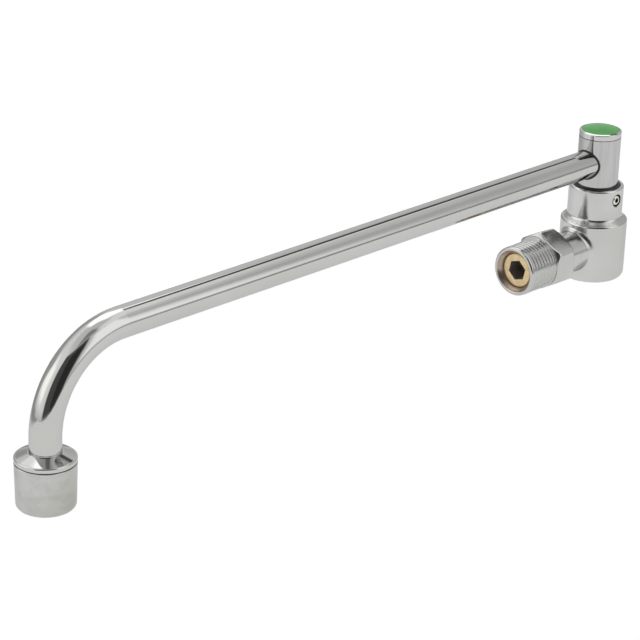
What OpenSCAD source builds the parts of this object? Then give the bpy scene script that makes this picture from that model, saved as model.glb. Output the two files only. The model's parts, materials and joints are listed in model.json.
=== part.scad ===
// Swing-spout faucet with a rotary plug valve: a threaded inlet with a hex,
// a valve barrel with a collar, a swivelling post and a long gooseneck arm
// that ends in an aerator nozzle pointing down.
// Frame: origin on the inlet axis at the hex's front shoulder, the thread
// runs along -X, the post axis is vertical, and the arm lies over the inlet.

/* [Inlet] */
// Outer diameter of the pipe thread
thread_od = 21.3; // [20.9:0.1:21.6]
// Length from the hex shoulder to the end face
thread_len = 16; // [15.8:0.1:16.5]
// Distance between two thread crests
thread_pitch = 1.814; // [1.8:0.002:1.83]
// Height of a thread crest above its root
thread_depth = 1.1; // [0.8:0.05:1.15]
// Diameter of the coned inlet mouth at the end face
mouth_d = 18.4; // [17.8:0.1:18.6]
// Depth of the mouth in front of the retainer screw
mouth_depth = 2.5; // [2.2:0.1:2.8]
// Diameter of the threaded retainer screw
retainer_d = 15; // [14.9:0.1:15.2]
// Width across flats of the wrench hex
hex_af = 22; // [21.5:0.5:23]
// Length of the wrench hex
hex_len = 11; // [10.5:0.5:12]
// Turned diameter over the hex corners
hex_corner_d = 24.4; // [23.8:0.1:24.6]
// Diameter of the neck between hex and barrel
neck_d = 17.8; // [17.4:0.1:18.6]
// Width across flats of the key socket in the retainer screw
socket_af = 8; // [6:1:8]

/* [Valve body] */
// Distance from the hex shoulder to the post axis
post_x = 36.3; // [36:0.1:38]
// Diameter of the barrel
barrel_d = 28.6; // [28:0.1:29.5]
// Depth of the barrel's bottom below the inlet axis
barrel_drop = 14; // [14:0.1:15]
// Height of the barrel's shoulder edge above the inlet axis
barrel_rise = 12.4; // [12:0.1:12.6]
// Rise of the shoulder from the barrel to the collar
shoulder_rise = 1.7; // [1.2:0.1:1.9]
// Rounding of the barrel's bottom edge
barrel_round = 2.6; // [1.5:0.1:2.8]
// Diameter of the collar round the post
collar_d = 23.6; // [23.4:0.1:24.6]
// Height of the collar's top above the inlet axis
collar_top = 27.3; // [27.1:0.1:27.8]
// Height of the set screw's axis
screw_z = 22.4; // [22.2:0.1:22.5]
// Diameter of the set screw
screw_d = 5; // [4.8:0.1:5.2]

/* [Post] */
// Diameter of the swivelling post and plug
post_d = 18; // [17.9:0.1:18.1]
// Radial running clearance of the plug in the barrel
plug_gap = 0.05; // [0.04:0.01:0.08]
// Height of the post's top, at the seam under the cap
post_top = 48.8; // [48.5:0.1:50]
// Bore of the post
core_d = 10; // [9:0.5:10]
// Diameter of the side port in the plug
port_d = 8; // [6:0.5:8]
// Height of the cap's rim above the seam
cap_h = 2.9; // [2.6:0.05:3]
// Diameter of the coloured disc in the cap
disc_d = 16.2; // [15.6:0.1:16.2]
// Height of the disc's crown above the cap's rim
disc_crown = 0.5; // [0.3:0.05:0.7]

/* [Spout] */
// Outer diameter of the spout tube
tube_d = 12; // [11.8:0.1:12]
// Wall thickness of the spout tube
tube_wall = 1; // [0.8:0.1:1.2]
// Height of the arm's axis above the inlet axis
arm_z = 37.6; // [37.4:0.1:38]
// Reach from the post axis to the nozzle axis
reach = 305; // [200:5:400]
// Bend radius of the tube's axis
bend_r = 34.5; // [30:0.5:40]
// Straight length between the bend and the nozzle cone
drop_len = 5.1; // [4:0.1:8]
// Thickness of the black ring between tube and post
joint_ring_t = 0.6; // [0.4:0.05:0.8]

/* [Nozzle] */
// Diameter of the nozzle at its rim
nozzle_d = 22.8; // [22.6:0.1:23.2]
// Diameter of the nozzle at its bottom
nozzle_foot_d = 22; // [21.8:0.1:22.4]
// Height of the cone on top of the nozzle
cone_h = 1.9; // [1.5:0.1:2.2]
// Height of the rim between cone and seam
rim_h = 1.6; // [1.4:0.1:1.8]
// Height of the seam's gasket
seam_h = 0.4; // [0.3:0.05:0.5]
// Height of the cup below the seam
cup_h = 17.7; // [17.5:0.1:19]
// Rounding of the cup's bottom edge
cup_round = 2; // [1:0.1:2.2]

/* [Hidden] */
$fn = 96;
e = 0.01;

thread_r = thread_od / 2;
root_r = thread_r - thread_depth;
mouth_r = mouth_d / 2;
lip_out_r = thread_r - 0.05;
retainer_r = retainer_d / 2;
retainer_len = 7;
retainer_x = -thread_len + mouth_depth;
seat_bore_r = 7.3;
seat_r = seat_bore_r - 0.05;
water_r = 4.2;
post_r = post_d / 2;
barrel_r = barrel_d / 2;
collar_r = collar_d / 2;
plug_bore_r = post_r + plug_gap;
bore_floor = -barrel_drop + 3;
seal_seat_r = 10.25;
seal_depth = 1.6;
oring = 0.89;
oring_groove_w = 2.3;
oring_z_upper = 17.4;
oring_z_lower = 13.2;
tube_r = tube_d / 2;
bore_tube_r = tube_r - tube_wall;
bend_x = post_x - reach + bend_r;
nozzle_x = post_x - reach;
cone_z = arm_z - bend_r - drop_len;
rim_z = cone_z - cone_h;
seam_z = rim_z - rim_h;
cup_z = seam_z - seam_h;
foot_z = cup_z - cup_h;
nozzle_r = nozzle_d / 2;
foot_r = nozzle_foot_d / 2;
cup_bore_r = nozzle_r - 1.2;
lip_z = foot_z + 3.2;
lip_r = 9.3;

// Turns children, drawn along Z, so that they run along +X.
module along_x(x = 0) { translate([x, 0, 0]) rotate([0, 90, 0]) children(); }
module at_post(z = 0) { translate([post_x, 0, z]) children(); }
module at_nozzle(z = 0) { translate([nozzle_x, 0, z]) children(); }

// Half section of a disc with rounded lower and upper edges.
module disc_section(r, z0, z1, low = 0, high = 0) {
    translate([0, z0 + low]) square([r, z1 - z0 - low - high]);
    if (low > 0) {
        translate([0, z0]) square([r - low, low + e]);
        translate([r - low, z0 + low]) circle(r = low);
    }
    if (high > 0) {
        translate([0, z1 - high - e]) square([r - high, high + e]);
        translate([r - high, z1 - high]) circle(r = high);
    }
}

module ring(r_out, r_in, h) {
    difference() {
        cylinder(r = r_out, h = h);
        translate([0, 0, -1]) cylinder(r = r_in, h = h + 2);
    }
}

module o_ring(r, section) { rotate_extrude() translate([r, 0]) circle(r = section, $fn = 32); }

// ---- Inlet and valve body ----

// One crest of the thread as a revolved ridge with a narrow flat land.
module thread_ridge(x, r) {
    flank = (r - root_r) * 0.52;
    land = 0.22;
    translate([0, 0, x]) rotate_extrude()
        polygon([[root_r - 0.3, -flank - land], [root_r, -flank - land], [r, -land],
                 [r, land], [root_r, flank + land], [root_r - 0.3, flank + land]]);
}

module inlet_outside() {
    first = -2.8;
    lip = -thread_len + 0.85;
    n = floor((thread_len + first) / thread_pitch);
    along_x() {
        translate([0, 0, -thread_len + 0.7]) cylinder(r = root_r, h = thread_len);
        rotate_extrude() polygon([[0, -thread_len], [lip_out_r - 0.3, -thread_len],
                 [lip_out_r - 0.09, -thread_len + 0.09], [lip_out_r, -thread_len + 0.3],
                 [lip_out_r, lip], [root_r - 0.1, lip + 0.6], [0, lip + 0.6]]);
        translate([0, 0, -1.1]) cylinder(r = thread_r, h = 1.1 + e);
        for (i = [0 : n - 1]) thread_ridge(first - i * thread_pitch, thread_r);
    }
    intersection() {
        along_x() cylinder(r = hex_af / 2 / cos(30), h = hex_len, $fn = 6);
        along_x() rotate_extrude()
            polygon([[0, 0], [hex_af / 2 - 0.1, 0], [hex_corner_d / 2, 0.9],
                     [hex_corner_d / 2, hex_len - 0.9], [hex_af / 2 - 0.1, hex_len],
                     [0, hex_len]]);
    }
    along_x(hex_len - 1) cylinder(r = neck_d / 2, h = post_x - hex_len + 1);
}

module barrel_outside() {
    at_post() {
        rotate_extrude() disc_section(barrel_r, -barrel_drop, barrel_rise, barrel_round, 1);
        rotate_extrude() polygon([[0, barrel_rise - 1.2], [barrel_r - 1.2, barrel_rise - 1.2],
                 [barrel_r - 1.2, barrel_rise], [collar_r - 0.01, barrel_rise + shoulder_rise],
                 [0, barrel_rise + shoulder_rise]]);
        rotate_extrude() disc_section(collar_r, barrel_rise, collar_top, 0, 0.9);
    }
}

module valve_body() {
    color("gainsboro") difference() {
        union() {
            inlet_outside();
            barrel_outside();
        }
        // coned mouth, retainer thread and seat bore
        along_x() rotate_extrude() polygon([[0, -thread_len - 1], [mouth_r + 0.25, -thread_len - 1],
                 [mouth_r + 0.25, -thread_len], [mouth_r, -thread_len + 0.25],
                 [retainer_r + 0.03, retainer_x + e], [0, retainer_x + e]]);
        along_x(retainer_x - e) cylinder(r = retainer_r + 0.03, h = retainer_len + 0.2);
        along_x(retainer_x + retainer_len) cylinder(r = seat_bore_r, h = post_x - 4.7 - retainer_x - retainer_len);
        // plug bore and the seat of the black ring
        at_post(bore_floor) cylinder(r = plug_bore_r, h = 60);
        at_post(collar_top - seal_depth) cylinder(r = seal_seat_r + 0.02, h = 10);
        // set screw hole on the near side
        translate([post_x, 0, screw_z]) rotate([90, 0, 0]) cylinder(r = screw_d / 2 + 0.03, h = 20);
        translate([post_x, -collar_r + 0.35, screw_z]) rotate([90, 0, 0])
            cylinder(r1 = screw_d / 2, r2 = screw_d / 2 + 0.7, h = 0.7);
    }
}

module key_socket(af, h) { rotate(12) cylinder(r = af / 2 / cos(30), h = h, $fn = 6); }

module inlet_retainer_screw() {
    color("darkgoldenrod") along_x(retainer_x) difference() {
        union() {
            translate([0, 0, 0.4]) cylinder(r = retainer_r, h = retainer_len - 0.4);
            cylinder(r1 = retainer_r - 0.4, r2 = retainer_r, h = 0.4);
        }
        translate([0, 0, -1]) key_socket(socket_af, retainer_len + 2);
    }
}

// Four coned spring washers, stacked nose to nose and rim to rim.
module seat_spring_discs() {
    t = 0.5;
    h = 0.6;
    step = 1.15;
    color("silver") along_x(retainer_x + retainer_len + 0.05) for (i = [0 : 3]) {
        a = (i % 2 == 0) ? 0 : h;
        b = h - a;
        translate([0, 0, i * step]) rotate_extrude()
            polygon([[5.1, a], [7.1, b], [7.1, b + t], [5.1, a + t]]);
    }
}

seat_x = retainer_x + retainer_len + 4.7;
module seat_carrier() {
    color("darkgoldenrod") along_x(seat_x) difference() {
        cylinder(r = seat_r, h = 22 - seat_x);
        translate([0, 0, -1]) cylinder(r = water_r, h = 40);
        translate([0, 0, 20 - seat_x]) cylinder(r = 5.65, h = 3);
        translate([0, 0, 11]) ring(seat_r + 1, seat_r - 1.78, oring_groove_w);
    }
}

module seat_carrier_oring() {
    color("#222222") along_x(seat_x + 11 + oring_groove_w / 2) o_ring(seat_bore_r - 0.02 - oring, oring);
}

// Soft seat whose face is hollowed to the plug.
module seat_seal() {
    color("whitesmoke") difference() {
        union() {
            along_x(22.05) cylinder(r = seat_r, h = 9.4);
            along_x(20.05) cylinder(r = 5.6, h = 3);
        }
        along_x(19) cylinder(r = water_r, h = 20);
        at_post(-20) cylinder(r = post_r + 0.03, h = 40);
    }
}

module set_screw() {
    color("dimgray") translate([post_x, 0, screw_z]) rotate([90, 0, 0]) difference() {
        union() {
            translate([0, 0, 9.3]) cylinder(r = screw_d / 2, h = collar_r - 9.3 - 1.3);
            translate([0, 0, collar_r - 1.4]) cylinder(r = screw_d / 2 - 0.45, h = 0.8);
            translate([0, 0, collar_r - 0.6]) cylinder(r1 = screw_d / 2 - 0.45, r2 = screw_d / 2 - 0.8, h = 0.25);
            translate([0, 0, 7.9]) cylinder(r = 1.5, h = 2);
        }
        translate([0, 0, collar_r - 2]) cylinder(r = 1 / cos(30), h = 3, $fn = 6);
    }
}

module thrust_washer() {
    color("whitesmoke") at_post(bore_floor + 0.01) ring(post_r - 0.1, 4, 1);
}

// Black ring between the collar and the post.
module collar_seal_ring() {
    color("#181818") at_post() rotate_extrude() difference() {
        translate([0, collar_top - seal_depth + 0.01]) square([seal_seat_r, seal_depth + 0.49]);
        translate([0, 0]) square([post_r + 0.06, 100]);
        translate([seal_seat_r, collar_top + 0.5]) rotate(45) square([0.7, 0.7], center = true);
    }
}

// ---- Swivelling post ----
module swivel_stem() {
    color("gainsboro") difference() {
        union() {
            at_post(bore_floor + 1.6) cylinder(r = post_r, h = post_top - bore_floor - 1.6);
            at_post(bore_floor + 1.1) cylinder(r1 = post_r - 0.5, r2 = post_r, h = 0.5);
        }
        at_post(bore_floor + 5) cylinder(r = core_d / 2, h = 60);
        at_post(post_top - 4.7) cylinder(r = 7.05, h = 10);
        // seal grooves and the groove that the set screw runs in
        for (z = [oring_z_lower, oring_z_upper])
            at_post(z - oring_groove_w / 2) ring(post_r + 1, post_r - 1.8, oring_groove_w);
        at_post(screw_z - 1.8) ring(post_r + 1, post_r - 1.35, 3.6);
        // port on the side away from the arm
        along_x(post_x) cylinder(r = port_d / 2, h = 12);
        // socket of the spout tube
        translate([post_x - 12, 0, arm_z]) rotate([0, 90, 0]) cylinder(r = tube_r + 0.02, h = 12);
    }
}

module stem_oring_upper() { color("#222222") at_post(oring_z_upper) o_ring(plug_bore_r - 0.03 - oring, oring); }
module stem_oring_lower() { color("#222222") at_post(oring_z_lower) o_ring(plug_bore_r - 0.03 - oring, oring); }

module post_cap() {
    color("gainsboro") at_post() rotate_extrude() difference() {
        union() {
            disc_section(post_r, post_top + 0.18, post_top + cap_h, 0.2, 0.85);
            translate([0, post_top - 4.5]) square([7, 5]);
        }
        translate([0, post_top + 1.1]) square([disc_d / 2 + 0.03, 5]);
        translate([5.22, post_top - 3.5]) square([5, oring_groove_w]);
    }
}

module post_cap_oring() { color("#222222") at_post(post_top - 3.5 + oring_groove_w / 2) o_ring(7.03 - oring, oring - 0.01); }

// Glossy coloured disc with a low crown.
module index_disc() {
    r = disc_d / 2;
    edge = post_top + cap_h - 0.15;
    crown = disc_crown + 0.15;
    sphere_r = (r * r + crown * crown) / (2 * crown);
    color("seagreen") intersection() {
        at_post(post_top + 1.12) cylinder(r = r, h = 4);
        at_post(edge + crown - sphere_r) sphere(r = sphere_r, $fn = 128);
    }
}

// ---- Spout ----
module tube_path(r) {
    translate([bend_x, 0, arm_z]) rotate([0, 90, 0]) cylinder(r = r, h = post_x - 5.2 - bend_x);
    translate([bend_x, 0, arm_z - bend_r]) rotate([90, 0, 0])
        rotate([0, 0, 90]) rotate_extrude(angle = 90) translate([bend_r, 0]) circle(r = r);
    at_nozzle(cone_z - 7.4) cylinder(r = r, h = drop_len + 7.4);
}

module spout_tube() {
    color("gainsboro") difference() {
        tube_path(tube_r);
        tube_path(bore_tube_r);
        translate([post_x - 5.2 - e, 0, arm_z]) rotate([0, 90, 0]) cylinder(r = bore_tube_r, h = 2);
        at_nozzle(cone_z - 8.4) cylinder(r = bore_tube_r, h = 2);
    }
}

// Black ring round the tube, shaped to the post.
module spout_joint_ring() {
    color("#181818") difference() {
        intersection() {
            translate([post_x - 12, 0, arm_z]) rotate([0, 90, 0]) ring(tube_r + joint_ring_t, tube_r + 0.02, 9);
            at_post(arm_z - 10) cylinder(r = post_r + joint_ring_t + 0.1, h = 20);
        }
        at_post(arm_z - 12) cylinder(r = post_r + 0.02, h = 24);
    }
}

// ---- Nozzle ----
module nozzle_collar() {
    color("gainsboro") at_nozzle() difference() {
        union() {
            rotate_extrude() polygon([[0, cone_z], [tube_r + 0.35, cone_z], [nozzle_r - 0.5, rim_z + 0.12],
                     [nozzle_r - 0.5, seam_z + 0.3], [0, seam_z + 0.3]]);
            rotate_extrude() disc_section(nozzle_r, seam_z, rim_z + 0.18, 0.2, 0.5);
            translate([0, 0, seam_z - 5]) cylinder(r = cup_bore_r - 0.05, h = 5.5);
        }
        translate([0, 0, cone_z - 7.5]) cylinder(r = tube_r + 0.03, h = 20);
        translate([0, 0, seam_z - 10]) cylinder(r = bore_tube_r, h = 20);
    }
}

module nozzle_gasket() {
    color("#181818") at_nozzle(cup_z + 0.02) ring(nozzle_r - 0.25, cup_bore_r + 0.02, seam_h - 0.04);
}

module nozzle_cup() {
    color("gainsboro") at_nozzle() difference() {
        union() {
            rotate_extrude() polygon([[0, cup_z], [nozzle_r - 0.15, cup_z], [nozzle_r, cup_z - 0.15],
                     [foot_r, foot_z + cup_round], [0, foot_z + cup_round]]);
            rotate_extrude() disc_section(foot_r, foot_z, foot_z + cup_round + 0.5, cup_round, 0);
        }
        translate([0, 0, lip_z]) cylinder(r = cup_bore_r, h = 40);
        translate([0, 0, foot_z - 1]) cylinder(r = lip_r, h = 40);
        translate([0, 0, foot_z - e]) cylinder(r1 = lip_r + 0.4, r2 = lip_r, h = 0.4);
    }
}

module aerator_washer() {
    color("#222222") at_nozzle(seam_z - 6.6) ring(cup_bore_r - 0.1, 7, 1.55);
}

function hex_spots(rings, pitch) = [for (i = [-rings : rings], j = [-rings : rings])
    if (abs(i + j) <= rings) [pitch * (i + j / 2), pitch * j * sin(60)]];

module aerator_screen() {
    color("silver") at_nozzle(seam_z - 7.2) linear_extrude(height = 0.5) difference() {
        circle(r = cup_bore_r - 0.6);
        for (p = hex_spots(4, 1.75)) translate(p) circle(r = 0.55, $fn = 16);
    }
}

module aerator_housing() {
    color("gray") at_nozzle() rotate_extrude() difference() {
        union() {
            translate([0, lip_z + 0.02]) square([lip_r, seam_z - 7.25 - lip_z]);
            translate([0, lip_z + 0.02]) square([cup_bore_r - 0.05, 1.4]);
            translate([0, foot_z + 1.2]) square([lip_r - 0.05, 4]);
        }
        translate([0, foot_z]) square([8, 40]);
        polygon([[0, foot_z + 1.1], [8.5, foot_z + 1.1], [8, foot_z + 1.6], [0, foot_z + 1.6]]);
    }
}

module aerator_diffuser() {
    color("dimgray") at_nozzle(seam_z - 11) difference() {
        cylinder(r = 7.95, h = 1.5);
        for (i = [0 : 11]) rotate(i * 30) translate([5.6, 0, -1]) cylinder(r = 0.65, h = 4, $fn = 24);
        for (i = [0 : 5]) rotate(i * 60) translate([3, 0, -1]) cylinder(r = 0.65, h = 4, $fn = 24);
    }
}

module stream_straightener() {
    color("dimgray") at_nozzle(foot_z + 1.5) linear_extrude(height = 3) difference() {
        circle(r = 7.95);
        for (p = hex_spots(3, 2.15)) translate(p) rotate(30) circle(r = 1.08, $fn = 6);
    }
}

valve_body();
inlet_retainer_screw();
seat_spring_discs();
seat_carrier();
seat_carrier_oring();
seat_seal();
set_screw();
thrust_washer();
collar_seal_ring();
swivel_stem();
stem_oring_upper();
stem_oring_lower();
post_cap();
post_cap_oring();
index_disc();
spout_tube();
spout_joint_ring();
nozzle_collar();
nozzle_gasket();
nozzle_cup();
aerator_washer();
aerator_screen();
aerator_housing();
aerator_diffuser();
stream_straightener();
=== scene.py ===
import json
import math

import bpy
import numpy as np
from mathutils import Matrix, Vector


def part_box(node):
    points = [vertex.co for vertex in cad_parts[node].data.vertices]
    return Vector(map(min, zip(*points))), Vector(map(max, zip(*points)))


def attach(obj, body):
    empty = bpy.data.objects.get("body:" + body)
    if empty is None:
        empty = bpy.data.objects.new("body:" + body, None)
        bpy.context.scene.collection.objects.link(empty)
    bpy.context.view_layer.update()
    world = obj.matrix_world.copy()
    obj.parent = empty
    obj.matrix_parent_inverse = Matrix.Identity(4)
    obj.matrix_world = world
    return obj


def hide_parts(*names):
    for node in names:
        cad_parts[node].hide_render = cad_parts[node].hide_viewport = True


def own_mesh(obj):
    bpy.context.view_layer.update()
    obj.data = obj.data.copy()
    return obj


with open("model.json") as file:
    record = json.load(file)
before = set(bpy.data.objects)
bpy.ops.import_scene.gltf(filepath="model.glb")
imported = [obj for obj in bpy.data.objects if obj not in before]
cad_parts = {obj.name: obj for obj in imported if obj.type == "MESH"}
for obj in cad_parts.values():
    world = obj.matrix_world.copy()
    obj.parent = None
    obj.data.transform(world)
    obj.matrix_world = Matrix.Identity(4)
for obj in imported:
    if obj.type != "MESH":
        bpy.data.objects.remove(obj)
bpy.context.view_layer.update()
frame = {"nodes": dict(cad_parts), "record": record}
NODES = frame["nodes"]
scene = bpy.context.scene

# ------------------------------------------------------------------ anchors
# Every place comes from the frame's own boxes, in metres.
MM = 0.001
b_lo, b_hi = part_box("valve_body")
s_lo, s_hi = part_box("swivel_stem")
t_lo, t_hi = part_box("spout_tube")
n_lo, n_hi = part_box("nozzle_cup")
PX = (s_lo.x + s_hi.x) / 2            # post axis
POST_R = (s_hi.x - s_lo.x) / 2
SCREW_Z = sum(v.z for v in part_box("set_screw")) / 2
KEY_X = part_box("inlet_retainer_screw")[0].x
NX = (n_lo.x + n_hi.x) / 2            # nozzle axis
TUBE_R = (t_hi.y - t_lo.y) / 2
ARM_Z = t_hi.z - TUBE_R

# ------------------------------------------------------------------- camera
def make_camera():
    az, el, roll = math.radians(-45.986), math.radians(22.811), math.radians(1.879)
    back = Vector((math.sin(az) * math.cos(el), -math.cos(az) * math.cos(el), math.sin(el)))
    fwd = -back
    right = fwd.cross(Vector((0, 0, 1))).normalized()
    up = right.cross(fwd)
    r2 = right * math.cos(roll) + up * math.sin(roll)
    u2 = up * math.cos(roll) - right * math.sin(roll)
    target = Vector((PX - 0.16780, 0, ARM_Z - 0.02754))
    cam = bpy.data.cameras.new("studio_camera")
    cam.sensor_width = 36.0
    cam.lens = 141.64
    cam.clip_start, cam.clip_end = 0.05, 30
    obj = bpy.data.objects.new("studio_camera", cam)
    scene.collection.objects.link(obj)
    m = Matrix((r2, u2, back)).transposed().to_4x4()
    m.translation = target + back * 0.97516
    obj.matrix_world = m
    scene.camera = obj


make_camera()

# ---------------------------------------------------------------- node tools
class Graph:
    """Short way to write a node tree."""

    def __init__(self, tree):
        self.t = tree
        self.n = tree.nodes
        self.n.clear()

    def add(self, kind, **props):
        node = self.n.new(kind)
        for k, v in props.items():
            setattr(node, k, v)
        return node

    def link(self, a, b):
        self.t.links.new(a, b)

    def put(self, socket, value):
        if isinstance(value, bpy.types.NodeSocket):
            self.link(value, socket)
        elif value is not None:
            socket.default_value = value

    def math(self, op, a, b=None, c=None, clamp=False):
        node = self.add("ShaderNodeMath", operation=op, use_clamp=clamp)
        for i, v in enumerate((a, b, c)):
            if v is not None:
                self.put(node.inputs[i], v)
        return node.outputs[0]

    def step(self, value, a, b, lo=0.0, hi=1.0):
        node = self.add("ShaderNodeMapRange", interpolation_type="SMOOTHSTEP", clamp=True)
        self.put(node.inputs["Value"], value)
        node.inputs["From Min"].default_value = a
        node.inputs["From Max"].default_value = b
        node.inputs["To Min"].default_value = lo
        node.inputs["To Max"].default_value = hi
        return node.outputs["Result"]

    def mix(self, fac, a, b):
        """a + fac * (b - a) on plain numbers."""
        node = self.add("ShaderNodeMix", data_type="FLOAT")
        self.put(node.inputs[0], fac)
        self.put(node.inputs[2], a)
        self.put(node.inputs[3], b)
        return node.outputs[0]

    def mix_rgb(self, fac, a, b, blend="MIX"):
        node = self.add("ShaderNodeMix", data_type="RGBA", blend_type=blend)
        self.put(node.inputs[0], fac)
        self.put(node.inputs[6], a)
        self.put(node.inputs[7], b)
        return node.outputs[2]


# ------------------------------------------------------------------- studio
# (azimuth, half width, elevation, half height, softness az, softness el, brightness)
# Azimuth 0 is -Y, 90 is +X.  Softboxes, a dark card behind the camera, side walls.
STUDIO = [
    (-135, 60, 32, 33, 30, 16, 1.00),     # wide left wall
    (-132, 26, 26, 17, 20, 14, 1.52),     # left softbox
    (165, 34, 18, 26, 16, 12, 0.86),      # wall behind
    (178, 27, 6, 22, 12, 10, 0.48),       # its darker middle
    (74, 26, 29, 11, 14, 10, 0.59),       # greyer wall on the right
    (-10, 32, 73, 12, 22, 10, 0.32),      # dark ceiling in front
    (135, 34, 57, 15, 12, 7, 1.95),       # big softbox high at the back
    (62, 44, 58, 9, 16, 8, 1.05),         # upper edge over the right side
    (26, 18, 27, 23, 11, 9, 1.28),        # tall right softbox
    (-39, 38, 28, 31, 6, 6, 0.09),        # dark card round the camera
    (-22, 18, 24, 26, 9, 9, 0.035),       # its darkest part
    (111, 8, 43.5, 8, 4, 4.5, 0.10),      # thin dark card at the back
    (64, 27, 0.5, 4.5, 14, 4, 0.40),      # dark line where floor and wall meet
]


def make_world():
    world = bpy.data.worlds.new("studio")
    scene.world = world
    world.use_nodes = True
    g = Graph(world.node_tree)
    co = g.add("ShaderNodeTexCoord").outputs["Generated"]
    sep = g.add("ShaderNodeSeparateXYZ")
    g.link(co, sep.inputs[0])
    x, y, z = sep.outputs
    az = g.math("MULTIPLY", g.math("ARCTAN2", x, g.math("MULTIPLY", y, -1.0)), 180 / math.pi)
    el = g.math("MULTIPLY", g.math("ARCSINE", z), 180 / math.pi)
    value = g.mix(g.step(el, -8, -5, 1.0, 0.0), g.step(el, -3, 40, 0.60, 0.74), 1.0)
    for caz, w, cel, h, saz, sel, bright in STUDIO:
        d = g.math("ABSOLUTE", g.math("WRAP", g.math("SUBTRACT", az, float(caz)), 180.0, -180.0))
        ma = g.step(d, w - saz / 2, w + saz / 2, 1.0, 0.0)
        e = g.math("ABSOLUTE", g.math("SUBTRACT", el, float(cel)))
        me = g.step(e, h - sel / 2, h + sel / 2, 1.0, 0.0)
        value = g.mix(g.math("MULTIPLY", ma, me), value, float(bright))
    bg = g.add("ShaderNodeBackground")
    bg.inputs["Color"].default_value = (1.0, 1.0, 1.0, 1)
    g.link(value, bg.inputs["Strength"])
    # the camera sees plain white past the floor's edge
    plain = g.add("ShaderNodeBackground")
    plain.inputs["Color"].default_value = (1, 1, 1, 1)
    path = g.add("ShaderNodeLightPath")
    mix = g.add("ShaderNodeMixShader")
    g.link(path.outputs["Is Camera Ray"], mix.inputs[0])
    g.link(bg.outputs[0], mix.inputs[1])
    g.link(plain.outputs[0], mix.inputs[2])
    out = g.add("ShaderNodeOutputWorld")
    g.link(mix.outputs[0], out.inputs[0])


def make_floor():
    z = -0.16
    s = 2.2
    me = bpy.data.meshes.new("studio_floor")
    me.from_pydata([(-s, -s, z), (s, -s, z), (s, s, z), (-s, s, z)], [], [(0, 1, 2, 3)])
    obj = bpy.data.objects.new("studio_floor", me)
    scene.collection.objects.link(obj)
    mat = bpy.data.materials.new("pale_floor")
    mat.use_nodes = True
    g = Graph(mat.node_tree)
    bsdf = g.add("ShaderNodeBsdfPrincipled")
    bsdf.inputs["Roughness"].default_value = 0.85
    bsdf.inputs["Specular IOR Level"].default_value = 0.0
    bsdf.inputs["Emission Color"].default_value = (1, 1, 1, 1)
    path = g.add("ShaderNodeLightPath")
    # reflections see the floor fall off to grey behind the object
    place = g.add("ShaderNodeSeparateXYZ")
    g.link(g.add("ShaderNodeTexCoord").outputs["Object"], place.inputs[0])
    far = g.step(place.outputs[1], 0.45, 0.75)
    seen = g.mix_rgb(far, (0.93, 0.93, 0.93, 1), (0.48, 0.48, 0.48, 1))
    g.link(g.mix_rgb(path.outputs["Is Camera Ray"], seen, (0.93, 0.93, 0.93, 1)), bsdf.inputs["Base Color"])
    glow = g.mix(far, 0.17, 0.02)
    g.link(g.mix(path.outputs["Is Camera Ray"], glow, 0.26), bsdf.inputs["Emission Strength"])
    out = g.add("ShaderNodeOutputMaterial")
    g.link(bsdf.outputs[0], out.inputs[0])
    me.materials.append(mat)


make_world()
make_floor()
scene.view_settings.view_transform = "Standard"
scene.view_settings.look = "None"
scene.view_settings.exposure = 0.0
scene.view_settings.gamma = 1.0


# ---------------------------------------------------------------- materials
def base_material(name):
    mat = bpy.data.materials.new(name)
    mat.use_nodes = True
    g = Graph(mat.node_tree)
    bsdf = g.add("ShaderNodeBsdfPrincipled")
    out = g.add("ShaderNodeOutputMaterial")
    g.link(bsdf.outputs[0], out.inputs[0])
    co = g.add("ShaderNodeTexCoord").outputs["Object"]
    return mat, g, bsdf, co


def noise(g, co, scale, detail=3.0, rough=0.5, distortion=0.0):
    n = g.add("ShaderNodeTexNoise")
    g.link(co, n.inputs["Vector"])
    n.inputs["Scale"].default_value = scale
    n.inputs["Detail"].default_value = detail
    n.inputs["Roughness"].default_value = rough
    n.inputs["Distortion"].default_value = distortion
    return n.outputs["Fac"]


def stretched(g, co, scale):
    m = g.add("ShaderNodeMapping")
    g.link(co, m.inputs["Vector"])
    m.inputs["Scale"].default_value = scale
    return m.outputs["Vector"]


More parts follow.
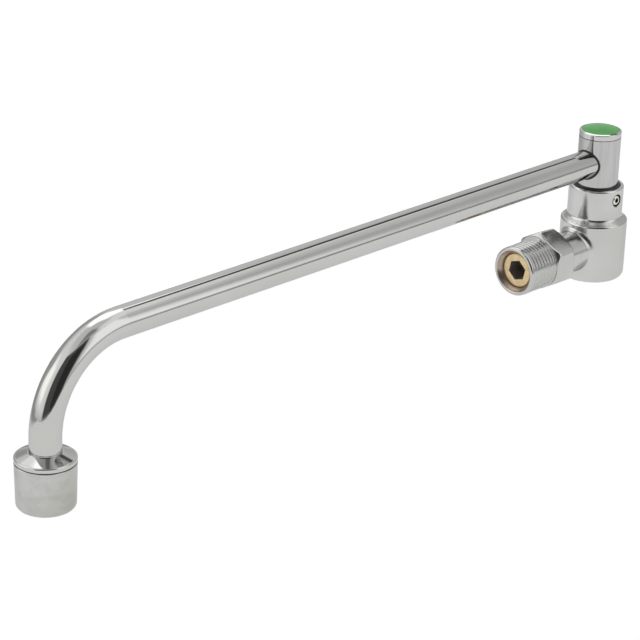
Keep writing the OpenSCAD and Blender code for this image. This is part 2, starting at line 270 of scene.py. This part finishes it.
def chrome(name, tint=(0.585, 0.585, 0.570), rough=0.045, spread=0.05, peel=0.010,
           brush=None, brush_depth=0.0, wave=0.0, edge=0.76, cloud=0.035, streak=None, extra=None):
    """Chrome plate: orange peel, polishing marks, haze that varies, tiny pores."""
    mat, g, bsdf, co = base_material(name)
    haze = g.step(noise(g, co, 60, 4), 0.35, 0.75, rough, rough + spread)
    fine = g.step(noise(g, co, 900, 2), 0.55, 0.8, 0.0, 0.05)
    r = g.math("ADD", haze, fine)
    stain = g.step(noise(g, co, 35, 3), 0.3, 0.7)
    col = g.mix_rgb(stain, (*tint, 1), (tint[0] * (1 - cloud), tint[1] * (1 - cloud), tint[2] * (1 - cloud * 1.25), 1))
    pores = g.step(noise(g, co, 1500, 1), 0.70, 0.78)
    col = g.mix_rgb(g.math("MULTIPLY", pores, 0.35), col, (tint[0] * 0.45, tint[1] * 0.45, tint[2] * 0.42, 1))
    if streak:
        marks = g.step(noise(g, stretched(g, co, streak), 1.0, 4, 0.6), 0.42, 0.66)
        col = g.mix_rgb(g.math("MULTIPLY", marks, 0.16), col, (tint[0] * 0.3, tint[1] * 0.3, tint[2] * 0.3, 1))
    if extra:
        col, more = extra(g, co, col)
        r = g.math("ADD", r, more)
    g.link(col, bsdf.inputs["Base Color"])
    bsdf.inputs["Metallic"].default_value = 1.0
    bsdf.inputs["Specular Tint"].default_value = (edge, edge, edge * 1.01, 1)
    height = g.math("MULTIPLY", noise(g, co, 260, 2), peel)
    if wave:
        height = g.math("ADD", height, g.math("MULTIPLY", noise(g, co, 70, 1), wave))
    if brush:
        lines = noise(g, stretched(g, co, brush), 1.0, 3)
        height = g.math("ADD", height, g.math("MULTIPLY", lines, brush_depth))
        r = g.math("ADD", r, g.step(lines, 0.45, 0.75, 0.0, 0.05))
    g.link(r, bsdf.inputs["Roughness"])
    bump = g.add("ShaderNodeBump")
    bump.inputs["Strength"].default_value = 1.0
    bump.inputs["Distance"].default_value = MM
    g.link(height, bump.inputs["Height"])
    g.link(bump.outputs[0], bsdf.inputs["Normal"])
    return mat


def inlet_radius(g, co):
    sep = g.add("ShaderNodeSeparateXYZ")
    g.link(co, sep.inputs[0])
    _, y, z = sep.outputs
    return g.math("SQRT", g.math("ADD", g.math("MULTIPLY", y, y), g.math("MULTIPLY", z, z)))


def screw_radius(g, co):
    """Distance from the set screw's axis."""
    sep = g.add("ShaderNodeSeparateXYZ")
    g.link(co, sep.inputs[0])
    x = g.math("SUBTRACT", sep.outputs[0], PX)
    z = g.math("SUBTRACT", sep.outputs[2], SCREW_Z)
    return g.math("SQRT", g.math("ADD", g.math("MULTIPLY", x, x), g.math("MULTIPLY", z, z))), sep.outputs[1]


def brass(name):
    """Bare turned brass, slightly tarnished, with fine turning marks round X."""
    mat, g, bsdf, co = base_material(name)
    n = g.step(noise(g, co, 220, 4), 0.3, 0.7)
    col = g.mix_rgb(n, (0.62, 0.47, 0.26, 1), (0.76, 0.62, 0.38, 1))
    dark = g.step(noise(g, co, 110, 3), 0.55, 0.75)
    col = g.mix_rgb(g.math("MULTIPLY", dark, 0.5), col, (0.38, 0.26, 0.13, 1))
    bsdf.inputs["Metallic"].default_value = 1.0
    rad = inlet_radius(g, co)
    # painted shade: the brass face is darkened near its outer edge by the water way, radius 6.3 to 7.4 mm, broken up
    # by noise
    rim = g.math("MULTIPLY", g.step(rad, 6.3 * MM, 7.4 * MM), g.step(noise(g, co, 160, 2), 0.2, 0.7, 0.35, 0.85))
    col = g.mix_rgb(rim, col, (0.34, 0.25, 0.14, 1))
    # painted light: behind the key socket, inside radius 4.8 mm, the brass is turned a light grey and rougher, a
    # painted brightening of that deep recess
    sep = g.add("ShaderNodeSeparateXYZ")
    g.link(co, sep.inputs[0])
    behind = g.step(sep.outputs[0], KEY_X + 0.05 * MM, KEY_X + 0.20 * MM)
    painted_light_deep = g.math("MULTIPLY", g.step(rad, 4.72 * MM, 4.84 * MM, 1.0, 0.0), behind)
    g.link(g.mix_rgb(painted_light_deep, col, (0.62, 0.58, 0.54, 1)), bsdf.inputs["Base Color"])
    rough = g.step(noise(g, co, 500, 3), 0.3, 0.8, 0.22, 0.45)
    g.link(g.mix(painted_light_deep, rough, 0.5), bsdf.inputs["Roughness"])
    rings = g.math("SINE", g.math("MULTIPLY", rad, 2 * math.pi / (0.22 * MM)))
    height = g.math("ADD", g.math("MULTIPLY", rings, 0.004), g.math("MULTIPLY", noise(g, co, 1400, 3), 0.012))
    bump = g.add("ShaderNodeBump")
    bump.inputs["Strength"].default_value = 1.0
    bump.inputs["Distance"].default_value = MM
    g.link(height, bump.inputs["Height"])
    g.link(bump.outputs[0], bsdf.inputs["Normal"])
    return mat


def rubber(name):
    mat, g, bsdf, co = base_material(name)
    n = g.step(noise(g, co, 400, 4), 0.3, 0.75)
    g.link(g.mix_rgb(n, (0.012, 0.012, 0.012, 1), (0.03, 0.03, 0.029, 1)), bsdf.inputs["Base Color"])
    g.link(g.step(noise(g, co, 900, 3), 0.3, 0.8, 0.42, 0.62), bsdf.inputs["Roughness"])
    bump = g.add("ShaderNodeBump")
    bump.inputs["Strength"].default_value = 0.25
    bump.inputs["Distance"].default_value = 0.02 * MM
    g.link(noise(g, co, 1800, 2), bump.inputs["Height"])
    g.link(bump.outputs[0], bsdf.inputs["Normal"])
    return mat


def green(name):
    """Glossy green resin with a slightly uneven surface."""
    mat, g, bsdf, co = base_material(name)
    n = g.step(noise(g, co, 180, 3), 0.3, 0.7)
    g.link(g.mix_rgb(n, (0.050, 0.335, 0.050, 1), (0.075, 0.405, 0.070, 1)), bsdf.inputs["Base Color"])
    g.link(g.step(noise(g, co, 700, 3), 0.4, 0.8, 0.16, 0.26), bsdf.inputs["Roughness"])
    bsdf.inputs["Specular IOR Level"].default_value = 0.28
    bump = g.add("ShaderNodeBump")
    bump.inputs["Strength"].default_value = 1.0
    bump.inputs["Distance"].default_value = MM
    g.link(g.math("MULTIPLY", noise(g, co, 240, 2), 0.03), bump.inputs["Height"])
    g.link(bump.outputs[0], bsdf.inputs["Normal"])
    return mat


def steel(name, tint=(0.55, 0.54, 0.50)):
    mat, g, bsdf, co = base_material(name)
    n = g.step(noise(g, co, 300, 4), 0.3, 0.7)
    g.link(g.mix_rgb(n, (*tint, 1), (tint[0] * 0.85, tint[1] * 0.85, tint[2] * 0.83, 1)), bsdf.inputs["Base Color"])
    g.link(g.step(noise(g, co, 900, 3), 0.3, 0.8, 0.18, 0.4), bsdf.inputs["Roughness"])
    bsdf.inputs["Metallic"].default_value = 1.0
    return mat


def plastic(name, a, b, rough=0.45):
    mat, g, bsdf, co = base_material(name)
    n = g.step(noise(g, co, 300, 4), 0.3, 0.7)
    g.link(g.mix_rgb(n, (*a, 1), (*b, 1)), bsdf.inputs["Base Color"])
    g.link(g.step(noise(g, co, 1200, 3), 0.3, 0.8, rough - 0.08, rough + 0.1), bsdf.inputs["Roughness"])
    bump = g.add("ShaderNodeBump")
    bump.inputs["Strength"].default_value = 0.2
    bump.inputs["Distance"].default_value = 0.015 * MM
    g.link(noise(g, co, 2200, 2), bump.inputs["Height"])
    g.link(bump.outputs[0], bsdf.inputs["Normal"])
    return mat


MATS = {
    "chrome": chrome("chrome_tube"),
    "brass": brass("bare_brass"),
    "spring_steel": steel("spring_steel_bright", (0.60, 0.60, 0.60)),
    "screw_steel": steel("stainless_screw", (0.58, 0.57, 0.50)),
    "black_rubber": rubber("black_rubber_matt"),
    "white_ptfe": plastic("white_ptfe_smooth", (0.84, 0.84, 0.82), (0.90, 0.90, 0.88), 0.4),
    "green_enamel": green("green_enamel_gloss"),
    "aerator_plastic": plastic("grey_moulding", (0.055, 0.058, 0.062), (0.075, 0.078, 0.082), 0.45),
    "screen_steel": steel("perforated_steel", (0.60, 0.60, 0.60)),
}


def screw_hole_painted_shade(g, co, col):
    """Painted shade: the cast body within 2.62 mm of the set screw's axis, out past y = -9 mm, is turned near black
    and a little rougher, standing in for the shadow in the gap round the screw.
    """
    rad, y = screw_radius(g, co)
    # painted shade: near-black ring in the hole round the screw, where the gap lies in shadow
    ring = g.math("MULTIPLY", g.step(rad, 2.62 * MM, 2.86 * MM, 1.0, 0.0), g.step(y, -9.0 * MM, -8.0 * MM, 1.0, 0.0))
    return g.mix_rgb(ring, col, (0.06, 0.06, 0.05, 1)), g.math("MULTIPLY", ring, 0.2)


def bare_mouth(g, co, col):
    """The plating stops at the mouth, which shows the brass casting."""
    bare = g.step(inlet_radius(g, co), 8.85 * MM, 9.35 * MM, 1.0, 0.0)
    n = g.step(noise(g, co, 420, 3), 0.3, 0.7)
    tan = g.mix_rgb(n, (0.42, 0.345, 0.275, 1), (0.55, 0.465, 0.385, 1))
    return g.mix_rgb(bare, col, tan), g.math("MULTIPLY", bare, 0.16)


def socket_screw(name):
    """Set screw: light steel face; its outer thread ring and its socket recess are painted near black as painted
    shade.
    """
    mat, g, bsdf, co = base_material(name)
    rad, _ = screw_radius(g, co)
    n = g.step(noise(g, co, 900, 3), 0.3, 0.7)
    col = g.mix_rgb(n, (0.66, 0.66, 0.58, 1), (0.80, 0.80, 0.73, 1))
    # painted shade: near black outside radius 2.0 mm (the shadowed gap round the thread) and inside radius 1.0 mm (the
    # socket recess)
    dark = g.math("MAXIMUM", g.step(rad, 2.0 * MM, 2.12 * MM), g.step(rad, 1.0 * MM, 1.16 * MM, 1.0, 0.0))
    g.link(g.mix_rgb(dark, col, (0.05, 0.05, 0.035, 1)), bsdf.inputs["Base Color"])
    g.link(g.step(noise(g, co, 1300, 2), 0.3, 0.8, 0.22, 0.40), bsdf.inputs["Roughness"])
    bsdf.inputs["Metallic"].default_value = 1.0
    return mat


LIGHT = (0.645, 0.645, 0.648)
CAST = chrome("chrome_cast_body", LIGHT, rough=0.15, spread=0.09, peel=0.014, wave=0.08, cloud=0.15,
              extra=screw_hole_painted_shade)
THREAD = chrome("chrome_thread", (0.57, 0.57, 0.56), rough=0.16, spread=0.08, peel=0.012, cloud=0.10, extra=bare_mouth)
POST = chrome("chrome_post", (0.545, 0.545, 0.545), rough=0.085, spread=0.07, peel=0.008, brush=(260, 260, 14), brush_depth=0.014,
              wave=0.02, cloud=0.10, streak=(520, 520, 45))
NOZZLE = chrome("chrome_nozzle", (0.60, 0.60, 0.595), rough=0.13, spread=0.12, peel=0.012, wave=0.06, cloud=0.20,
                streak=(150, 150, 210))
CAP = chrome("chrome_cap", (0.60, 0.60, 0.60), rough=0.06, spread=0.05, cloud=0.06)
OWN = {"nozzle_cup": NOZZLE, "swivel_stem": POST, "post_cap": POST, "set_screw": socket_screw("set_screw_steel")}
for sp in frame["record"]["subparts"]:
    me = NODES[sp["node"]].data
    me.materials.clear()
    me.materials.append(OWN.get(sp["node"], MATS[sp["material_slot"]]))

# ------------------------------------------------------------- mesh helpers
def link_mesh(name, verts, faces, normals=None, loop_normals=None, smooth=True):
    """Mesh from arrays of points and quads, with exact normals."""
    me = bpy.data.meshes.new(name)
    verts = np.asarray(verts, np.float64) * MM
    faces = np.asarray(faces, np.int32)
    me.vertices.add(len(verts))
    me.vertices.foreach_set("co", verts.astype(np.float32).ravel())
    k = faces.shape[1]
    me.loops.add(faces.size)
    me.loops.foreach_set("vertex_index", faces.ravel())
    me.polygons.add(len(faces))
    me.polygons.foreach_set("loop_start", np.arange(0, faces.size, k, dtype=np.int32))
    me.polygons.foreach_set("use_smooth", np.full(len(faces), smooth))
    me.update(calc_edges=True)
    if loop_normals is not None:
        me.normals_split_custom_set(loop_normals.reshape(-1, 3))
    elif normals is not None:
        me.normals_split_custom_set_from_vertices(np.asarray(normals))
    obj = bpy.data.objects.new(name, me)
    scene.collection.objects.link(obj)
    return obj


def ring_mesh(name, rows, n0, n1, closed=False, flip=False):
    """Skin between successive rings of points. rows is (m, n, 3); n0 and n1
    are the normals at the start and end of each strip, (m - 1, n, 3)."""
    m, n = rows.shape[0], rows.shape[1]
    i, j = np.meshgrid(np.arange(m - 1), np.arange(n), indexing="ij")
    jn = (j + 1) % n
    quads = np.stack([i * n + j, i * n + jn, (i + 1) * n + jn, (i + 1) * n + j], -1).reshape(-1, 4)
    ln = np.stack([n0, np.roll(n0, -1, 1), np.roll(n1, -1, 1), n1], 2).reshape(-1, 3)
    if flip:
        quads, ln = quads[:, ::-1], ln.reshape(-1, 4, 3)[:, ::-1].reshape(-1, 3)
    verts = rows.reshape(-1, 3)
    if closed:
        quads = np.where(quads >= (m - 1) * n, quads - (m - 1) * n, quads)
        verts = verts[: (m - 1) * n]
    return link_mesh(name, verts, quads, loop_normals=ln)


def arc(cr, cz, r, a0, a1, steps):
    """Points and outward normals of an arc in the half section, degrees."""
    a = np.radians(np.linspace(a0, a1, steps + 1))
    return [(cr + r * math.cos(t), cz + r * math.sin(t), math.cos(t), math.sin(t)) for t in a]


def turned(name, runs, n=160, axis="z", centre=(0, 0), flip=False):
    """Revolves a closed half section. Each run is a list of (r, z) corners or of
    (r, z, nr, nz) points of a smooth curve; runs meet in sharp edges."""
    pts, s0, s1 = [], [], []
    for run in runs:
        run = [tuple(p) for p in run]
        for k in range(len(run) - 1):
            a, b = run[k], run[k + 1]
            if not pts:
                pts.append(a[:2])
            if abs(pts[-1][0] - a[0]) + abs(pts[-1][1] - a[1]) > 1e-9:
                d = (a[0] - pts[-1][0], a[1] - pts[-1][1])
                q = math.hypot(*d)
                s0.append((d[1] / q, -d[0] / q)); s1.append(s0[-1]); pts.append(a[:2])
            d = (b[0] - a[0], b[1] - a[1])
            q = math.hypot(*d)
            flat = (d[1] / q, -d[0] / q)
            s0.append(a[2:] if len(a) == 4 else flat)
            s1.append(b[2:] if len(b) == 4 else flat)
            pts.append(b[:2])
    a, b = pts[-1], pts[0]
    closed = True
    if abs(a[0] - b[0]) + abs(a[1] - b[1]) > 1e-9:
        d = (b[0] - a[0], b[1] - a[1]); q = math.hypot(*d)
        s0.append((d[1] / q, -d[0] / q)); s1.append(s0[-1]); pts.append(b)
    t = np.linspace(0, 2 * np.pi, n, endpoint=False)
    c, s = np.cos(t), np.sin(t)

    def spin(pairs):
        p = np.array(pairs, float)
        r, z = p[:, :1], p[:, 1:2]
        zz = np.broadcast_to(z, (len(p), n))
        if axis == "z":
            return np.stack([r * c, r * s, zz], -1)
        return np.stack([zz, r * c, r * s], -1)

    rows = spin(pts)
    if axis == "z":
        rows = rows + np.array([centre[0], centre[1], 0.0])
    return ring_mesh(name, rows, spin(s0), spin(s1), closed, flip)


# ------------------------------------------------------ blended solid shapes
def round_union(a, b, r):
    u, v = np.maximum(r - a, 0), np.maximum(r - b, 0)
    return np.maximum(np.minimum(a, b), r) - np.sqrt(u * u + v * v)


def round_cut(a, b, r):
    """Intersection with a rounded edge."""
    return -round_union(-a, -b, r)


PXM = PX / MM
B_R = (b_hi.x / MM) - PXM                  # barrel radius
B_LOW = b_lo.z / MM
C_TOP = b_hi.z / MM
END_X = b_lo.x / MM


def body_shape(p):
    """Distance to the cast body without its thread, millimetres."""
    x, y, z = p[..., 0], p[..., 1], p[..., 2]
    X = x - PXM
    rho = np.sqrt(X * X + y * y)
    rn = np.sqrt(y * y + z * z)
    d = round_cut(rho - B_R, B_LOW - z, 2.9)
    d = round_cut(d, z - 12.4, 1.1)
    cone = (rho - 13.3) * 0.682 + (z - 12.45) * 0.731
    cone = np.maximum(np.maximum(cone, rho - 13.25), np.maximum(z - 14.6, 8.0 - z))
    d = np.minimum(d, cone)
    collar = np.maximum(round_cut(rho - 11.8, z - C_TOP, 0.8), 2.0 - z)
    d = round_union(d, collar, 0.45)
    neck = np.maximum(np.maximum(rn - 8.9, 5.0 - x), x - PXM)
    d = round_union(d, neck, 1.7)
    flats = np.abs(y) - 11.0
    flats = round_cut(flats, np.abs(-y * 0.5 + z * 0.866) - 11.0, 0.35)
    far_up = y * 0.5 + z * 0.866
    flats = round_cut(flats, -far_up - 11.0, 0.35)
    flats = round_cut(flats, far_up - (12.15 - 0.06 * x), 0.9)
    high = 0.9 * np.clip((far_up - 8.0) / 4.0, 0, 1)
    hexa = round_cut(flats, rn - 12.25 - high, 0.25)
    hexa = round_cut(hexa, (rn - 11.0 - high) * 0.6 - x * 0.5, 0.25)
    hexa = round_cut(hexa, (rn - 10.9) * 0.569 + (x - 11.0) * 0.822, 0.25)
    hexa = np.maximum(np.maximum(hexa, -x), x - 11.0)
    d = round_union(d, hexa, 0.7)
    # plug bore, seat of the black ring, seat bore, set screw hole
    plug = np.maximum(rho - 9.05, (B_LOW + 3.0) - z)
    seat = np.maximum(rho - 10.27, (C_TOP - 1.6) - z)
    water = np.maximum(rn - 7.3, x - 31.6)
    h = np.sqrt(X * X + (z - 22.4) ** 2)
    t = -y - 11.35
    screw = np.minimum(np.maximum(h - 2.53, y + 8.6), np.maximum((h - 2.53 - t) * 0.7071, -t - 0.3))
    for hole in (plug, seat, water, screw):
        d = round_cut(d, -hole, 0.18)
    return d


def surface_net(shape, lo, hi, h):
    """Quads on the zero surface of shape, each point moved onto it."""
    lo, hi = np.array(lo, float), np.array(hi, float)
    n = np.ceil((hi - lo) / h).astype(int) + 1
    ax = [lo[k] + h * np.arange(n[k]) for k in range(3)]
    f = np.empty(n, np.float32)
    yy, zz = np.meshgrid(ax[1], ax[2], indexing="ij")
    slab = np.empty(yy.shape + (3,))
    slab[..., 1], slab[..., 2] = yy, zz
    for i, xv in enumerate(ax[0]):
        slab[..., 0] = xv
        f[i] = shape(slab)
    inside = f < 0
    c = inside.astype(np.uint8)
    total = sum(c[a: n[0] - 1 + a, b: n[1] - 1 + b, d: n[2] - 1 + d] for a in (0, 1) for b in (0, 1) for d in (0, 1))
    cells = np.argwhere((total > 0) & (total < 8))
    index = np.full(n - 1, -1, np.int64)
    index[tuple(cells.T)] = np.arange(len(cells))
    corner = {}
    for a in (0, 1):
        for b in (0, 1):
            for d in (0, 1):
                corner[(a, b, d)] = f[cells[:, 0] + a, cells[:, 1] + b, cells[:, 2] + d].astype(float)
    acc = np.zeros((len(cells), 3))
    cnt = np.zeros(len(cells))
    for axis in range(3):
        o1, o2 = [k for k in range(3) if k != axis]
        for u in (0, 1):
            for v in (0, 1):
                k0 = [0, 0, 0]; k0[o1] = u; k0[o2] = v
                k1 = list(k0); k1[axis] = 1
                fa, fb = corner[tuple(k0)], corner[tuple(k1)]
                hit = (fa < 0) != (fb < 0)
                t = np.where(hit, fa / np.where(hit, fa - fb, 1), 0)
                q = np.array(k0, float)[None] + 0 * acc
                q[:, axis] = t
                acc += np.where(hit[:, None], q, 0)
                cnt += hit
    p = lo + h * (cells + acc / cnt[:, None])
    centre = lo + h * (cells + 0.5)

    def slope(q):
        e = 0.02
        g = np.empty_like(q)
        for k in range(3):
            d = np.zeros(3); d[k] = e
            g[:, k] = (shape(q + d) - shape(q - d)) / (2 * e)
        return g

    for _ in range(5):
        g = slope(p)
        g2 = np.maximum((g * g).sum(1), 0.05)
        p = p - (shape(p) / g2)[:, None] * g
        p = np.clip(p, centre - 0.62 * h, centre + 0.62 * h)
    g = slope(p)
    nrm = g / np.maximum(np.linalg.norm(g, axis=1), 1e-9)[:, None]
    quads = []
    for axis in range(3):
        o1, o2 = (axis + 1) % 3, (axis + 2) % 3
        lo_s = [slice(None)] * 3; hi_s = [slice(None)] * 3
        lo_s[axis] = slice(0, n[axis] - 1); hi_s[axis] = slice(1, n[axis])
        a, b = inside[tuple(lo_s)], inside[tuple(hi_s)]
        for flip in (False, True):
            e = np.argwhere((a & ~b) if not flip else (~a & b))
            e = e[(e[:, o1] > 0) & (e[:, o2] > 0) & (e[:, o1] < n[o1] - 1) & (e[:, o2] < n[o2] - 1)]
            ids = []
            for du, dv in ((-1, -1), (0, -1), (0, 0), (-1, 0)):
                k = e.copy(); k[:, o1] += du; k[:, o2] += dv
                ids.append(index[tuple(k.T)])
            q = np.stack(ids, 1)
            quads.append(q[:, ::-1] if flip else q)
    return p, np.concatenate(quads), nrm


def valve_casting():
    p, q, nrm = surface_net(body_shape, (-0.9, -B_R - 0.8, B_LOW - 0.8), (PXM + B_R + 0.8, B_R + 0.8, C_TOP + 0.8), 0.36)
    return link_mesh("valve_casting", p, q, normals=nrm)


def inlet_thread():
    """Right-handed pipe thread with its lip, coned mouth and bore, all one solid."""
    n = 192
    th = np.linspace(0, 2 * np.pi, n, endpoint=False)
    pitch, crest, root, lip_r, bore = 1.814, 10.65, 9.62, 10.6, 7.55
    xs = np.arange(END_X + 0.95, 0.30001, 0.09)

    def radius(x, t):
        phase = (x + 2.28) / pitch - t / (2 * np.pi)
        w = 0.5 + 0.5 * np.cos(2 * np.pi * phase)
        w = w * w * (3 - 2 * w) * 0.55 + w * 0.45
        r = root + (crest - root) * w
        front = np.clip((x - (END_X + 0.8)) / 0.5, 0, 1)
        front = front * front * (3 - 2 * front)
        back = np.clip((-0.55 - x) / 0.9, 0, 1)
        back = back * back * (3 - 2 * back)
        r = lip_r + (r - lip_r) * front
        r = crest + (r - crest) * back
        rise = np.clip((x + 6.6) / 6.9, 0, 1) ** 1.15
        return np.maximum(r, 10.35 + 1.6 * rise * np.clip(np.cos(t + 0.66), 0, 1) ** 4)

    X, T = np.meshgrid(xs, th, indexing="ij")
    Rr = radius(X, T)
    e = 0.01
    rx = (radius(X + e, T) - radius(X - e, T)) / (2 * e)
    rt = (radius(X, T + e) - radius(X, T - e)) / (2 * e) / Rr
    # position (x, -r sin, r cos) with t measured from +Z towards -Y
    rad = np.stack([0 * T, -np.sin(T), np.cos(T)], -1)
    tan = np.stack([0 * T, -np.cos(T), -np.sin(T)], -1)
    axd = np.zeros_like(rad); axd[..., 0] = 1
    outer = rad * Rr[..., None] + axd * X[..., None]
    on = rad - axd * rx[..., None] - tan * rt[..., None]
    on /= np.linalg.norm(on, axis=-1, keepdims=True)

    rad1, ax1 = rad[0], axd[0]
    rows, n0, n1 = [], [], []

    def ring(r, x):
        return rad1 * r + ax1 * x

    def nor(nr, nx):
        return rad1 * nr + ax1 * nx

    def flat(r0, x0, r1, x1):
        dr, dx = r1 - r0, x1 - x0
        q = math.hypot(dr, dx)
        return nor(dx / q, -dr / q)

    # the profile runs from the buried back end along the outside to the lip,
    # over the end face, down the mouth and back along the bore
    back = xs[-1]
    prof = []   # (r or None, x, normal after) built as explicit strips
    cur = ring(bore, back)
    rows.append(cur)
    rows.append(outer[-1]); n0.append(nor(0, 1)); n1.append(nor(0, 1))
    for k in range(len(xs) - 1, 0, -1):
        rows.append(outer[k - 1]); n0.append(on[k]); n1.append(on[k - 1])
    # full round lip, then a hollow mouth down to the bore
    prev = nor(1, 0)
    cr, cx, rr = lip_r - 0.95, END_X + 0.95, 0.95
    for s in range(1, 15):
        a = math.radians(150 * s / 14)
        rows.append(ring(cr + rr * math.cos(a), cx - rr * math.sin(a)))
        nn = nor(math.cos(a), -math.sin(a))
        n0.append(prev); n1.append(nn); prev = nn
    r0, x0 = cr + rr * math.cos(a), cx - rr * math.sin(a)
    r1, x1 = bore, END_X + 2.5
    q = math.hypot(r1 - r0, x1 - x0)
    d0 = (-0.5, 0.87)
    for s in range(1, 13):
        t = s / 12
        b = [(1 - t) ** 3, 3 * t * (1 - t) ** 2, 3 * t * t * (1 - t), t ** 3]
        ctrl = ((r0, x0), (r0 + d0[0] * q * 0.4, x0 + d0[1] * q * 0.4), (r1 + 0.12, x1 - q * 0.4), (r1, x1))
        r = sum(w * c[0] for w, c in zip(b, ctrl)); x = sum(w * c[1] for w, c in zip(b, ctrl))
        g0 = [3 * (1 - t) ** 2, 6 * t * (1 - t), 3 * t * t]
        dr = sum(w * (ctrl[k + 1][0] - ctrl[k][0]) for k, w in enumerate(g0))
        dx = sum(w * (ctrl[k + 1][1] - ctrl[k][1]) for k, w in enumerate(g0))
        m = math.hypot(dr, dx)
        nn = nor(-dx / m, dr / m)
        rows.append(ring(r, x)); n0.append(prev); n1.append(nn); prev = nn
    rows.append(ring(bore, back)); n0.append(nor(-1, 0)); n1.append(nor(-1, 0))
    return ring_mesh("inlet_thread", np.array(rows), np.array(n0), np.array(n1), closed=True, flip=True)


def joint_bead():
    """Thin black bead in the corner between tube and post: a real dark joint, made fuller underneath as painted shade
    where the joint lies in shadow below the tube.
    """
    n, k = 144, 20
    f = np.linspace(0, 2 * np.pi, n, endpoint=False)
    tr, pr = TUBE_R / MM, POST_R / MM
    y = -(tr + 0.06) * np.sin(f)
    z = ARM_Z / MM + (tr + 0.06) * np.cos(f)
    x = PXM - np.sqrt((pr + 0.10) ** 2 - y * y)
    c = np.stack([x, y, z], 1)
    t = np.roll(c, -1, 0) - np.roll(c, 1, 0)
    t /= np.linalg.norm(t, axis=1, keepdims=True)
    u = np.stack([0 * f, -np.sin(f), np.cos(f)], 1)
    u -= (u * t).sum(1, keepdims=True) * t
    u /= np.linalg.norm(u, axis=1, keepdims=True)
    v = np.cross(t, u)
    # the bead thickens towards the bottom: painted shade under the tube, on top of the real dark joint
    rb = 0.40 + 0.24 * (0.5 - 0.5 * np.cos(f - math.radians(12))) ** 1.3
    a = np.linspace(0, 2 * np.pi, k, endpoint=False)
    nr = u[:, None] * np.cos(a)[None, :, None] + v[:, None] * np.sin(a)[None, :, None]
    pts = c[:, None] + nr * rb[:, None, None]
    pts = np.concatenate([pts, pts[:1]])
    nr = np.concatenate([nr, nr[:1]])
    return ring_mesh("joint_bead", pts, nr[:-1], nr[1:], closed=True)

def cap_rim():
    """Chrome rim round the green disc: bevelled top land and a small round edge."""
    lo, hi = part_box("post_cap")
    top, r = hi.z / MM, (hi.x - lo.x) / 2 / MM
    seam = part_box("swivel_stem")[1].z / MM + 0.18
    inner = (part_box("index_disc")[1].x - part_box("index_disc")[0].x) / 2 / MM + 0.03
    cr, cz, q = r - 0.45, top - 0.75, 0.45
    edge = arc(cr, cz, q, 0, 68, 10)
    bevel = [(edge[-1][0], edge[-1][1]), (inner, edge[-1][1] + (edge[-1][0] - inner) * math.tan(math.radians(21)))]
    foot = arc(r - 0.15, seam + 0.15, 0.15, -90, 0, 4)
    return turned("cap_rim", [foot, [(r, seam + 0.15), (r, cz)], edge, bevel,
                              [(inner, bevel[1][1]), (inner, seam + 0.9)],
                              [(inner, seam + 0.9), (7.0, seam + 0.9)], [(7.0, seam + 0.9), (7.0, seam)],
                              [(7.0, seam), foot[0][:2]]], centre=(PXM, 0))


def spring_stack():
    """The coned spring washers, as a copy of the CAD piece."""
    src = bpy.data.objects["seat_spring_discs"]
    obj = bpy.data.objects.new("spring_washers", src.data.copy())
    obj.data.materials.clear()
    obj.matrix_world = src.matrix_world.copy()
    bpy.context.scene.collection.objects.link(obj)
    return obj


# ------------------------------------------------------------------- pieces
def fit_piece(obj, mat, node, body):
    obj.data.materials.append(mat)
    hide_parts(node)
    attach(obj, body)


fit_piece(valve_casting(), CAST, "valve_body", "valve")
fit_piece(inlet_thread(), THREAD, "valve_body", "valve")
fit_piece(cap_rim(), CAP, "post_cap", "arm")
fit_piece(joint_bead(), MATS["black_rubber"], "spout_joint_ring", "arm")
springs = spring_stack()
fit_piece(springs, MATS["spring_steel"], "seat_spring_discs", "valve")
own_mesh(springs)
